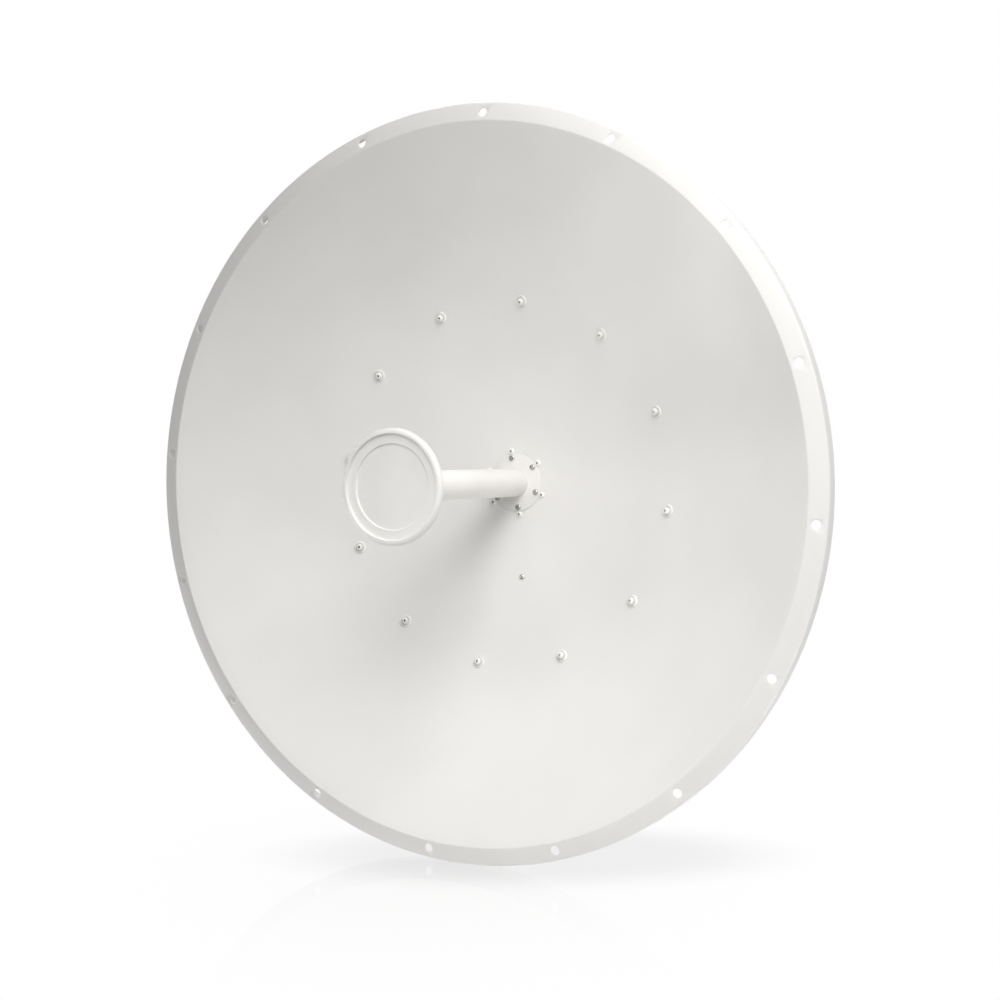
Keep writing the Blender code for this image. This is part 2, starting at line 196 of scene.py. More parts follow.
# Brass pin, gold flashed: deep yellow and bright.
goldFlash = {
    "name": "goldFlashedBrass", "colour": "#e3bd6b", "colourTwo": "#d9b05c", "roughness": (0.18, 0.26),
    "metallic": 1.0, "grainSize": 0.6, "grainHeight": 0.01, "grainStrength": 0.3, "drift": 3,
}

# PTFE insulator, turned: waxy white.
ptfe = {
    "name": "turnedPtfe", "colour": "#f0efe9", "colourTwo": "#eae8e1", "roughness": (0.34, 0.42),
    "ior": 1.38, "grainSize": 0.8, "grainHeight": 0.01, "grainStrength": 0.3, "drift": 5,
}

# Steel brackets, hot dip galvanised: a grey coat of spangles, about 9 mm across, each with its own
# brightness and polish.
galvanised = {
    "name": "hotDipZinc", "colour": "#b4b8bb", "colourTwo": "#8f9498", "roughness": (0.34, 0.52),
    "metallic": 1.0, "grainSize": 1.6, "grainHeight": 0.05, "grainStrength": 0.4, "spangle": 9,
}


# Building helpers

def newPiece(name, bm, material, slot, *nodes, sharpAngle=32):
    # A bmesh becomes a piece that rides on the fixed body and stands for the named CAD nodes.
    bmesh.ops.recalc_face_normals(bm, faces=bm.faces)
    mesh = bpy.data.meshes.new(name)
    bm.to_mesh(mesh)
    bm.free()
    mesh.materials.append(material)
    mesh.shade_smooth()
    mesh.set_sharp_from_angle(angle=math.radians(sharpAngle))
    piece = bpy.data.objects.new(name, mesh)
    scene.collection.objects.link(piece)
    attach(piece, "root")
    if nodes:
        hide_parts(*nodes)
    return piece


def applyModifiers(piece):
    bpy.context.view_layer.update()
    made = bpy.data.meshes.new_from_object(piece.evaluated_get(bpy.context.evaluated_depsgraph_get()))
    piece.modifiers.clear()
    piece.data = made


def breakEdges(piece, width, angle, segments=2):
    # Edges that turn by more than the angle are rounded.
    bevel = piece.modifiers.new("brokenEdges", "BEVEL")
    bevel.width = width
    bevel.segments = segments
    bevel.limit_method = "ANGLE"
    bevel.angle_limit = math.radians(angle)


def smoothCorners(corners, steps=5, closed=True):
    # Corners are (a, b) or (a, b, radius). Those with a radius become arcs.
    path = []
    count = len(corners)
    for i, corner in enumerate(corners):
        here = Vector(corner[:2])
        ends = not closed and i in (0, count - 1)
        if len(corner) == 2 or ends:
            path.append(tuple(here))
            continue
        before = (Vector(corners[i - 1][:2]) - here).normalized()
        after = (Vector(corners[(i + 1) % count][:2]) - here).normalized()
        half = before.angle(after) / 2
        centre = here + (before + after).normalized() * corner[2] / math.sin(half)
        reach = corner[2] / math.tan(half)
        first, last = here + before * reach - centre, here + after * reach - centre
        for k in range(steps + 1):
            path.append(tuple(centre + first.slerp(last, k / steps) * corner[2]))
    return path


def lathe(bm, path, place, steps=32, closed=False):
    # Turn a path of (radius, height) about the local Z axis. A point on the axis becomes one vertex.
    rings = []
    for radius, height in path:
        if radius == 0:
            rings.append([bm.verts.new(place @ Vector((0, 0, height)))] * steps)
            continue
        angles = [math.tau * k / steps for k in range(steps)]
        rings.append([bm.verts.new(place @ Vector((radius * math.cos(a), radius * math.sin(a), height)))
                      for a in angles])
    pairs = list(zip(rings, rings[1:]))
    if closed:
        pairs.append((rings[-1], rings[0]))
    for low, high in pairs:
        for k in range(steps):
            after = (k + 1) % steps
            loop = []
            for vert in (low[k], low[after], high[after], high[k]):
                if vert not in loop:
                    loop.append(vert)
            if len(loop) > 2:
                bm.faces.new(loop)


def skin(bm, loops):
    # Faces from each loop of vertices to the next, with a cap on the first and the last.
    for first, second in zip(loops, loops[1:]):
        for k in range(len(first)):
            after = (k + 1) % len(first)
            bm.faces.new((first[k], first[after], second[after], second[k]))
    bm.faces.new(loops[0])
    bm.faces.new(loops[-1])


# The dish's axis: local X stays, local Y is up, and local Z is the depth.
dishAxis = Matrix.Translation(rimCentre) @ Matrix((
    (1, 0, 0, 0),
    (0, 0, 1, 0),
    (0, 1, 0, 0),
    (0, 0, 0, 1),
))


def turnedPiece(name, corners, material, slot, *nodes, steps=128, closed=True, arcSteps=5):
    bm = bmesh.new()
    lathe(bm, smoothCorners(corners, arcSteps, closed), dishAxis, steps, closed)
    return newPiece(name, bm, material, slot, *nodes)


def aimed(point, direction):
    return Matrix.Translation(point) @ Vector(direction).to_track_quat("Z", "Y").to_matrix().to_4x4()


def roundAxis(radius, degrees, depth, direction):
    # Place on a circle round the dish's axis, with local Z along the direction.
    angle = math.radians(degrees)
    return aimed(atDepth(radius * math.cos(angle), depth, radius * math.sin(angle)), direction)


def ringAngles(start, count):
    return [start + 360 * k / count for k in range(count)]


# Reflector

dish = {
    "radius": 0.525,          # outside of the lip
    "bowlRadius": 0.4997,     # where the bowl bends into the flange
    "edgeDepth": -0.0022,     # depth of that bend
    "focalLength": 0.345,
    "sheet": 0.002,
    "hubFlat": 0.052,         # radius of the flat round the feed
    "hubBore": 0.0425,
    "hubBlend": 0.0004,       # m2, how softly the hub's flat runs into the bowl
    "flangeSlope": 11.5,      # degrees
    "bendRadius": 0.003,
    "lipCorner": 0.003,
    "lipDepth": 0.022,
    "holeCircle": 0.5106,
    "holes": 16,
    "holeStart": 100.3,       # degrees
    "holeRadius": 0.0062,
    "holeEdge": 0.0004,       # rounding of the punched edge
    "steps": 256,
    "rows": 44,
}
vertexDepth = dish["edgeDepth"] + dish["bowlRadius"] ** 2 / (4 * dish["focalLength"])


def bowlDepth(radius):
    # The hub's flat and the parabola, with a soft change from one to the other.
    bowl, flat = radius ** 2, dish["hubFlat"] ** 2
    square = (bowl + flat + math.hypot(bowl - flat, dish["hubBlend"])) / 2
    return vertexDepth - (square - dish["hubBlend"] ** 2 / (4 * max(bowl, flat))) / (4 * dish["focalLength"])


def bowlSlope(radius):
    step = 1e-4
    return (bowlDepth(radius - step) - bowlDepth(radius + step)) / (2 * step)


def flangeDepth(radius):
    return dish["edgeDepth"] + (radius - dish["bowlRadius"]) * math.tan(math.radians(dish["flangeSlope"]))


def onBowl(radius, degrees, offset=0.0):
    # Place on the bowl's front, with local Z along its normal to the front.
    angle = math.radians(degrees)
    slope = bowlSlope(radius)
    normal = Vector((-slope * math.cos(angle), -1, -slope * math.sin(angle))).normalized()
    point = atDepth(radius * math.cos(angle), bowlDepth(radius), radius * math.sin(angle))
    return aimed(point + normal * offset, normal)


def behind(radius, distance):
    # Radius and depth of the point that lies this far behind the bowl's front, along its normal.
    slope = bowlSlope(radius)
    length = math.hypot(slope, 1)
    return radius + distance * slope / length, bowlDepth(radius) + distance / length


def reflectorPath():
    # Half a section: out along the bowl's front, over the flange and lip, and back along its rear.
    sheet = dish["sheet"]
    cutEdge = sheet * 0.4
    inner = dish["radius"] - sheet
    flangeFront = flangeDepth(dish["radius"])
    flangeBack = flangeDepth(inner) + sheet / math.cos(math.radians(dish["flangeSlope"]))
    lipEnd = flangeFront + dish["lipDepth"]
    bendBack = behind(dish["bowlRadius"], sheet)
    reach = dish["bowlRadius"] - dish["hubBore"]
    radii = [dish["hubBore"] + reach * k / dish["rows"] for k in range(1, dish["rows"])]
    front = [(radius, bowlDepth(radius)) for radius in radii]
    back = [behind(radius, sheet) for radius in reversed(radii)]
    rim = [
        (dish["bowlRadius"], dish["edgeDepth"], dish["bendRadius"]),
        (dish["radius"], flangeFront, dish["lipCorner"]),
        (dish["radius"], lipEnd, cutEdge),
        (inner, lipEnd, cutEdge),
        (inner, flangeBack, cutEdge),
        (bendBack[0] + sheet * 0.35, bendBack[1] + sheet * 0.15, dish["bendRadius"]),    # keeps the gauge
    ]
    boreFront = (dish["hubBore"], bowlDepth(dish["hubBore"]), cutEdge)
    boreBack = (dish["hubBore"], bowlDepth(dish["hubBore"]) + sheet, cutEdge)
    return [boreFront] + front + rim + back + [boreBack]


def rimPunch():
    # One round punch for each hole of the flange, all in one object.
    bm = bmesh.new()
    reach = dish["lipDepth"] / 2
    path = [(0, -reach), (dish["holeRadius"], -reach), (dish["holeRadius"], reach), (0, reach)]
    for degrees in ringAngles(dish["holeStart"], dish["holes"]):
        lathe(bm, path, roundAxis(dish["holeCircle"], degrees, 0, toFront))
    bmesh.ops.recalc_face_normals(bm, faces=bm.faces)
    mesh = bpy.data.meshes.new("rimPunch")
    bm.to_mesh(mesh)
    bm.free()
    punch = bpy.data.objects.new("rimPunch", mesh)
    scene.collection.objects.link(punch)
    return punch


def reflector(paint):
    shell = turnedPiece("dishReflector", reflectorPath(), paint, "dish_paint", "reflector",
                        steps=dish["steps"])
    punch = rimPunch()
    cut = shell.modifiers.new("holes", "BOOLEAN")
    cut.object = punch
    breakEdges(shell, dish["holeEdge"], 60)
    applyModifiers(shell)
    bpy.data.meshes.remove(punch.data)    # its object goes with it
    shell.data.set_sharp_from_angle(angle=math.radians(50))


# Fasteners. Each one stands on its local Z axis, from the surface that it is set on. Factors in their
# profiles are shares of their own height or radius, or of the thread's pitch.

sunk = 0.0003       # how far a head or tail reaches into what it is set on
rodRoot = 0.001     # how far a rod reaches into its head or nut
fineEdge = 0.0003   # rounding of a groove's or bore's rim
recessEdge = 0.0002

ringRivet = {
    "circle": 0.2658, "count": 12, "start": 105,
    "collarRadius": 0.0090, "collarHeight": 0.0022, "grooveWidth": 0.0009,
    "headRadius": 0.0054, "headHeight": 0.0066, "boreRadius": 0.0017,
    "tailRadius": 0.0042, "tailHeight": 0.0045, "tailDepth": 0.0048,    # behind the bowl's front
}
hubRivet = {
    "circle": 0.0473, "count": 6, "start": 90.9,
    "headRadius": 0.0043, "headHeight": 0.0036, "boreRadius": 0.0016,
    "tailRadius": 0.0036, "tailHeight": 0.0034, "plateBack": 0.18208,   # depth that the tail stands on
}
hubScrew = {"circle": 0.037, "headRadius": 0.0046, "headHeight": 0.0025, "recess": 0.0016}
earthScrew = {
    "circle": 0.140, "angle": -90, "headRadius": 0.0042, "headHeight": 0.0026, "recess": 0.0014,
    "nutApothem": 0.005, "nutHeight": 0.005, "radius": 0.0029, "plain": 0.0045, "length": 0.012,
    "pitch": 0.001,
}


def rivetHead(bm, place, rivet):
    # Dome with the mandrel's bore, on a collar where the rivet has one, with a fine groove between.
    head, height, bore = rivet["headRadius"], rivet["headHeight"], rivet["boreRadius"]
    path = [(0, -sunk)]
    if "collarRadius" in rivet:
        collar, rise = rivet["collarRadius"], rivet["collarHeight"]
        groove, grooveFloor = head + rivet["grooveWidth"], rise * 0.25
        path += [(collar, -sunk), (collar, rise, rise * 0.6), (groove, rise, fineEdge)]
        path += [(groove, grooveFloor), (head, grooveFloor)]
    else:
        path += [(head, -sunk)]
    path += [(head, height * 0.7, height * 0.26), (bore * 1.6, height, fineEdge)]
    path += [(bore, height, recessEdge), (bore, height * 0.1), (0, height * 0.1)]
    lathe(bm, smoothCorners(path, closed=False), place, 40)


def mandrelStub(bm, place, rivet):
    # What stays of the steel mandrel, deep in the rivet's bore, with a slightly raised break.
    radius = rivet["boreRadius"] * 0.96
    side, middle = rivet["headHeight"] * 0.6, rivet["headHeight"] * 0.66
    lathe(bm, [(0, 0), (radius, 0), (radius, side), (0, middle)], place, 20)


def rivetTail(bm, place, rivet):
    # The bulb that setting the rivet leaves at its back.
    radius, height = rivet["tailRadius"], rivet["tailHeight"]
    path = [(0, -sunk), (radius, -sunk), (radius * 1.08, height * 0.45, height * 0.3)]
    path += [(radius * 0.45, height, height * 0.1), (0, height)]
    lathe(bm, smoothCorners(path, 4, closed=False), place)


def panHead(bm, place, screw):
    radius, height, recess = screw["headRadius"], screw["headHeight"], screw["recess"]
    path = [(0, -sunk), (radius, -sunk), (radius, height, height * 0.62)]
    path += [(recess * 1.15, height, recessEdge), (recess * 0.8, height * 0.4), (0, height * 0.3)]
    lathe(bm, smoothCorners(path, closed=False), place, 40)


def hexBlock(bm, place, apothem, low, high, chamferLow=False):
    # Hexagon whose corners are turned down by 30 degrees, as on a real nut or bolt head.
    steps = 48
    side = math.tau / 6
    flat = apothem * 0.96    # radius where the turning ends
    rings = []
    for height, edge in ((low, -1 if chamferLow else 0), (high, 1)):
        outer, inner = [], []
        for k in range(steps):
            angle = math.tau * k / steps
            reach = apothem / math.cos(angle % side - side / 2)
            drop = edge * (reach - flat) * math.tan(math.radians(30))
            outer.append(Vector((reach * math.cos(angle), reach * math.sin(angle), height - drop)))
            inner.append(Vector((flat * math.cos(angle), flat * math.sin(angle), height)))
        rings += [outer, inner] if edge > 0 else [inner, outer]
    skin(bm, [[bm.verts.new(place @ point) for point in ring] for ring in rings])


def washerRing(bm, place, radius, low, high):
    edge = (high - low) * 0.3
    path = [(0, low), (radius, low, edge), (radius, high, edge), (0, high)]
    lathe(bm, smoothCorners(path, 3, closed=False), place, 48)


def threadedRod(bm, place, radius, low, threadLow, high, pitch=0.0015):
    # Plain shank up to threadLow, then ridges a pitch apart, and a stepped end.
    root = radius - 0.55 * pitch
    path = [(0, low), (radius, low), (radius, threadLow)]
    count = int((high - threadLow) / pitch) - 1
    for k in range(count):
        start = threadLow + k * pitch
        path += [(root, start + 0.35 * pitch), (root, start + 0.5 * pitch), (radius, start + 0.85 * pitch)]
        path += [(radius, start + pitch)]
    path += [(root, high), (0, high)]
    lathe(bm, path, place, 28)


def dishFasteners(paint, steel, plated, mandrelSteelWithPaintedShade):
    rings, hubs, stubs, screws, tails, earth = [bmesh.new() for _ in range(6)]
    for degrees in ringAngles(ringRivet["start"], ringRivet["count"]):
        place = onBowl(ringRivet["circle"], degrees)
        rivetHead(rings, place, ringRivet)
        mandrelStub(stubs, place, ringRivet)
        tailPlace = onBowl(ringRivet["circle"], degrees, -ringRivet["tailDepth"]) @ turnedOver
        rivetTail(tails, tailPlace, ringRivet)
    flangeFront = span("feed_flange")[0] - feed["flangeRise"]
    for degrees in ringAngles(hubRivet["start"], hubRivet["count"]):
        place = onBowl(hubRivet["circle"], degrees)
        rivetHead(hubs, place, hubRivet)
        mandrelStub(stubs, place, hubRivet)
        rivetTail(tails, roundAxis(hubRivet["circle"], degrees, hubRivet["plateBack"], toRear), hubRivet)
        panHead(screws, roundAxis(hubScrew["circle"], degrees, flangeFront, toFront), hubScrew)
    panHead(earth, onBowl(earthScrew["circle"], earthScrew["angle"]), earthScrew)
    place = onBowl(earthScrew["circle"], earthScrew["angle"], -dish["sheet"]) @ turnedOver
    hexBlock(earth, place, earthScrew["nutApothem"], 0, earthScrew["nutHeight"], chamferLow=True)
    threadedRod(earth, place, earthScrew["radius"], -rodRoot, earthScrew["plain"], earthScrew["length"],
                earthScrew["pitch"])
    newPiece("ringRivets", rings, paint, "dish_paint")
    newPiece("hubRivets", hubs, paint, "dish_paint")
    # The mandrel stubs' dark grey is partly painted shade in the rivets' bores.
    newPiece("mandrelStubs", stubs, mandrelSteelWithPaintedShade, "zinc_plate")
    newPiece("hubScrews", screws, steel, "zinc_plate")
    newPiece("rivetTails", tails, plated, "zinc_plate")
    newPiece("earthScrew", earth, steel, "zinc_plate")


# Feed

feed = {
    "tubeRadius": 0.0207, "tubeWall": 0.002, "tubeEdge": 0.0005, "tubeFit": 0.0003,
    "flangeRadius": 0.0422, "flangeRise": 0.0008,    # how far its front stands above the CAD's
    "lipWidth": 0.0009, "lipGap": 0.0005, "lipEdge": 0.0010,
    "plateRadius": 0.062, "plateEdge": 0.0006,
}
cone = {
    "lip": 0.004, "lipFrontEdge": 0.0008, "lipBackEdge": 0.0012,
    "collarRadius": 0.0255, "collarLength": 0.014, "collarFillet": 0.003, "collarEdge": 0.001,
}
disc = {
    "radius": 0.0762, "rim": 0.0075, "edge": 0.0048, "rimInner": 0.0689, "stepInner": 0.0561,
    "firstStep": 0.0042, "secondStep": 0.0024, "draft": 0.0004, "fillet": 0.0006,
    "shoulder": 0.002, "backRadius": 0.0700, "backEdge": 0.003,
}


def feedTubeAndFlange(paint):
    bore = feed["tubeRadius"] + feed["tubeFit"]
    front, back = span("feed_flange")
    front -= feed["flangeRise"]
    radius, lip = feed["flangeRadius"], feed["flangeRadius"] + feed["lipWidth"]
    seat = bowlDepth(lip) - feed["lipGap"]
    turnedPiece("feedFlange", [
        (bore, front), (lip, front, feed["lipEdge"]), (lip, seat),
        (radius, seat), (radius, back), (bore, back),
    ], paint, "feed_paint", "feed_flange")
    front, back = span("hub_plate")
    radius, edge = feed["plateRadius"], feed["plateEdge"]
    turnedPiece("hubPlate", [(bore, front), (radius, front, edge), (radius, back, edge), (bore, back)],
                paint, "feed_paint", "hub_plate")
    front, back = span("feed_tube")
    radius, edge = feed["tubeRadius"], feed["tubeEdge"]
    inner = radius - feed["tubeWall"]
    turnedPiece("feedTube", [(inner, front), (radius, front, edge), (radius, back, edge), (inner, back)],
                paint, "feed_paint", "feed_tube")


def feedCone(plastic):
    bore = feed["tubeRadius"] + feed["tubeFit"]
    front, back = span("feed_cone")
    radius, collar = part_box("feed_cone")[1].x, cone["collarRadius"]
    coneBack = back - cone["collarLength"]
    turnedPiece("feedCone", [
        (0, front), (radius, front, cone["lipFrontEdge"]),
        (radius, front + cone["lip"], cone["lipBackEdge"]),
        (collar, coneBack, cone["collarFillet"]), (collar, back, cone["collarEdge"]),
        (bore, back), (bore, coneBack), (0, coneBack),
    ], plastic, "cone_plastic", "feed_cone", closed=False)


def subReflector(paint):
    # Two shallow steps down from the rounded rim to the middle, and a tapered back.
    front, back = span("sub_reflector")
    first = front + disc["firstStep"]
    second = first + disc["secondStep"]
    draft, fillet = disc["draft"], disc["fillet"]
    turnedPiece("subReflector", [
        (0, second), (disc["stepInner"] - draft, second, fillet), (disc["stepInner"], first, fillet),
        (disc["rimInner"] - draft, first, fillet), (disc["rimInner"], front, fillet),
        (disc["radius"], front, disc["edge"]), (disc["radius"], front + disc["rim"], disc["shoulder"]),
        (disc["backRadius"], back, disc["backEdge"]), (0, back),
    ], paint, "disc_paint", "sub_reflector", closed=False, arcSteps=8)


# Radio housing behind the hub

housing = {"corner": 0.010, "edge": 0.0022, "coverCorner": 0.012, "coverEdge": 0.0015}
coverScrew = {"inset": 0.0085, "headRadius": 0.0030, "headHeight": 0.0018, "recess": 0.0011}


def roundedBlock(bm, low, high, corner, edge):
    # Block along the dish's axis with round corners, and with its front and back edges rounded.
    cornerSteps, edgeSteps = 8, 4
    middle, half = (low + high) / 2, (high - low) / 2
    stations = []
    for k in range(edgeSteps + 1):
        turn = math.pi / 2 * k / edgeSteps
        stations.append((edge * (1 - math.sin(turn)), low.y + edge * (1 - math.cos(turn))))
    stations += [(inset, 2 * middle.y - y) for inset, y in reversed(stations)]
    loops = []
    for inset, y in stations:
        radius = corner - inset
        x, z = half.x - inset, half.z - inset
        outline = [(-x, -z, radius), (x, -z, radius), (x, z, radius), (-x, z, radius)]
        flat = smoothCorners(outline, cornerSteps)
        loops.append([bm.verts.new((middle.x + a, y, middle.z + b)) for a, b in flat])
    skin(bm, loops)


def radioHousing(plastic, steel):
    body, cover, screws = [bmesh.new() for _ in range(3)]
    roundedBlock(body, *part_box("feed_housing"), housing["corner"], housing["edge"])
    low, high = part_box("housing_cover")
    roundedBlock(cover, low, high, housing["coverCorner"], housing["coverEdge"])
    reach = high.x - coverScrew["inset"]
    for x in (-reach, reach):
        for z in (-reach, reach):
            panHead(screws, aimed((x, high.y, z), toRear), coverScrew)
    newPiece("radioHousing", body, plastic, "housing_plastic", "feed_housing")
    newPiece("radioCover", cover, plastic, "housing_plastic", "housing_cover")
    newPiece("coverScrews", screws, steel, "zinc_plate")


socket = {
    "hex": 0.0105, "hexHeight": 0.005, "neck": 0.0072, "neckHeight": 0.003, "neckRoot": 0.001,
    "barrel": 0.0079, "bore": 0.0062, "boreDepth": 0.009, "pitch": 0.00106,
    "insulator": 0.0045, "insulatorHeight": 0.004, "insulatorEdge": 0.0006,
    "insulatorBore": 0.0018, "insulatorFloor": 0.001,
    "contact": 0.0013, "contactHeight": 0.006, "contactBore": 0.0008, "contactFloor": 0.003,
}


def coaxSocket(side, plating, insulator, gold):
    # Hexagon flange, neck and threaded barrel, with the insulator and its centre contact inside.
    low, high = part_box("rf_connector_" + side)
    centre = (low + high) / 2
    place = aimed((centre.x, centre.y, high.z), (0, 0, -1))
    length = high.z - low.z
    boreFloor = length - socket["boreDepth"]
    neckStart = socket["hexHeight"] - socket["neckRoot"]
    neckEnd = socket["hexHeight"] + socket["neckHeight"]
    bm = bmesh.new()
    hexBlock(bm, place, socket["hex"], 0, socket["hexHeight"])
    path = [(0, neckStart), (socket["neck"], neckStart), (socket["neck"], neckEnd)]
    barrel, pitch = socket["barrel"], socket["pitch"]
    root = barrel - 0.6 * pitch
    for k in range(int((length - neckEnd) / pitch) - 1):
        start = neckEnd + (k + 0.3) * pitch
        path += [(root, start), (barrel, start + 0.4 * pitch), (barrel, start + 0.6 * pitch)]
        path += [(root, start + pitch)]
    path += [(root, length), (socket["bore"], length), (socket["bore"], boreFloor), (0, boreFloor)]
    lathe(bm, path, place, 48)
    newPiece("coaxSocket." + side, bm, plating, "connector_plating", "rf_connector_" + side)

    radius, bore = socket["insulator"], socket["insulatorBore"]
    top, bottom = boreFloor + socket["insulatorHeight"], boreFloor + socket["insulatorFloor"]
    path = [(0, boreFloor), (radius, boreFloor), (radius, top, socket["insulatorEdge"])]
    path += [(bore, top, fineEdge), (bore, bottom), (0, bottom)]
    bm = bmesh.new()
    lathe(bm, smoothCorners(path, 4, closed=False), place)
    newPiece("coaxInsulator." + side, bm, insulator, "connector_plating")

    radius, bore = socket["contact"], socket["contactBore"]
    top, bottom = boreFloor + socket["contactHeight"], boreFloor + socket["contactFloor"]
    path = [(0, boreFloor), (radius, boreFloor), (radius, top, fineEdge)]
    path += [(bore, top), (bore, bottom), (0, bottom)]
    bm = bmesh.new()
    lathe(bm, smoothCorners(path, 3, closed=False), place, 24)
    newPiece("coaxContact." + side, bm, gold, "connector_plating")


# Stiffening ring, frame and pole bracket

drum = {
    "rivetCircle": 0.2658, "seatWidth": 0.026, "gauge": 0.0025, "inner": 0.206, "corner": 0.230,
    "bend": 0.004, "seat": 0.0023,    # from the bowl's front to the ring's
}


def stiffeningRing(paint):
    low, high = drum["rivetCircle"] - drum["seatWidth"] / 2, drum["rivetCircle"] + drum["seatWidth"] / 2
    back = span("stiffener_ring")[1]
    gauge, seat, bend = drum["gauge"], drum["seat"], drum["bend"]
    web = gauge / math.cos(math.atan2(low - drum["corner"], back - bowlDepth(low)))
    cutEdge = gauge * 0.4
    turnedPiece("stiffeningRing", [
        (*behind(high, seat), cutEdge), behind(drum["rivetCircle"], seat), (*behind(low, seat), bend),
        (drum["corner"] - web, back - gauge, bend * 0.6), (drum["inner"], back - gauge, cutEdge),
        (drum["inner"], back, cutEdge), (drum["corner"], back, bend),
        (*behind(low + web, seat + gauge), bend * 0.4), behind(drum["rivetCircle"], seat + gauge),
        (*behind(high, seat + gauge), cutEdge),
    ], paint, "ring_paint", "stiffener_ring", steps=192)


edgeWidths = {"channel": 0.0005, "bracket": 0.0004, "casting": 0.0012}    # how far cut edges are broken


def roundedCopy(node, name, material, slot, width, segments=2):
    # A kept CAD shape with its cut edges broken, as a new piece over the node. Its facets are joined to
    # whole faces first, so that only real edges are left.
    bm = bmesh.new()
    bm.from_mesh(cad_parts[node].data)
    bmesh.ops.remove_doubles(bm, verts=bm.verts, dist=1e-5)
    bmesh.ops.dissolve_limit(bm, angle_limit=math.radians(1), verts=bm.verts, edges=bm.edges)
    piece = newPiece(name, bm, material, slot, node, sharpAngle=35)
    breakEdges(piece, width, 40, segments)
    weights = piece.modifiers.new("flatFaces", "WEIGHTED_NORMAL")
    weights.keep_sharp = True


def frameAndBracket(paint, zincCoat, cast):
    channel, bracket, casting = edgeWidths["channel"], edgeWidths["bracket"], edgeWidths["casting"]
    for side in ("left", "right"):
        roundedCopy("upright_" + side, "uprightChannel." + side, paint, "frame_paint", channel)
        roundedCopy("elevation_ear_" + side, "elevationEar." + side, zincCoat, "galvanised_steel", bracket)
    for height in ("upper", "lower"):
        roundedCopy("cross_bar_" + height, "crossChannel." + height, paint, "frame_paint", channel)
        roundedCopy("pole_saddle_" + height, "poleSaddle." + height, cast, "zinc_plate", casting, 3)
        roundedCopy("pole_clamp_" + height, "poleClamp." + height, cast, "zinc_plate", casting, 3)
    roundedCopy("pole_bracket", "poleBracket", zincCoat, "galvanised_steel", bracket)


bolt = {
    "apothem": 0.0083, "nutHeight": 0.007, "washer": 0.0105, "washerHeight": 0.0018, "radius": 0.0049,
    "tail": 0.004,        # what a through bolt shows behind its nut
    "threadRun": 0.002,   # how far its thread goes on before the nut
    "rodTail": 0.030,     # what a clamp rod shows behind its nut
    "rodPlain": 0.45,     # share of a clamp rod that has no thread
}


def headAndNut(bm, place, length, tail, headWasher=False):
    # Head at the local origin, and at the far end a nut on its washer, with the tail behind it. Gives
    # back where the rod starts and where the nut does.
    head, washer = bolt["nutHeight"], bolt["washerHeight"]
    headEnd, nutStart = head, length - tail - head
    hexBlock(bm, place @ Matrix.Translation((0, 0, head)) @ turnedOver, bolt["apothem"], 0, head)
    if headWasher:
        headEnd += washer
        washerRing(bm, place, bolt["washer"], head, headEnd)
    washerRing(bm, place, bolt["washer"], nutStart - washer, nutStart)
    hexBlock(bm, place, bolt["apothem"], nutStart, nutStart + head, chamferLow=True)
    return headEnd - rodRoot, nutStart


def throughBolts(plated):
    for kind in ("pivot", "lock"):
        for side, outward in (("left", -1), ("right", 1)):
            node = f"{kind}_bolt_{side}"
            low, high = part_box(node)
            middle = (low + high) / 2
            start = high.x if outward > 0 else low.x
            place = aimed((start, middle.y, middle.z), (-outward, 0, 0))
            length = high.x - low.x
            bm = bmesh.new()
            rodStart, nutStart = headAndNut(bm, place, length, bolt["tail"], headWasher=True)
            threadedRod(bm, place, bolt["radius"], rodStart, nutStart - bolt["threadRun"], length)
            newPiece(f"{kind}Bolt.{side}", bm, plated, "zinc_plate", node)


def clampRods(plated):
    for height in ("upper", "lower"):
        for side in ("left", "right"):
            node = f"clamp_rod_{height}_{side}"
            low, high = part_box(node)
            middle = (low + high) / 2
            place = aimed((middle.x, low.y, middle.z), toRear)
            length = high.y - low.y
            bm = bmesh.new()
            rodStart = headAndNut(bm, place, length, bolt["rodTail"])[0]
            threadedRod(bm, place, bolt["radius"], rodStart, length * bolt["rodPlain"], length)
            newPiece(f"clampRod.{height}.{side}", bm, plated, "zinc_plate", node)


frameBolt = {
    "radius": 0.003, "pitch": 0.001, "apothem": 0.005, "height": 0.004, "tail": 0.003,
    "washer": 0.0062, "washerHeight": 0.0014, "ringCircle": 0.218, "earHeights": (-0.052, 0.0, 0.052),
    "channelGauge": 0.003, "fit": 0.0003,
}


def smallBolt(bm, place, grip):
    # Head and washer at the local origin, then the grip, and a nut on the far side.
    washer, head = frameBolt["washerHeight"], frameBolt["height"]
    washerRing(bm, place, frameBolt["washer"], 0, washer)
    hexBlock(bm, place, frameBolt["apothem"], washer, washer + head)
    far = place @ Matrix.Translation((0, 0, -grip)) @ turnedOver
    hexBlock(bm, far, frameBolt["apothem"], 0, head, chamferLow=True)
    threadedRod(bm, far, frameBolt["radius"], -rodRoot, head * 0.9, head + frameBolt["tail"],
                frameBolt["pitch"])


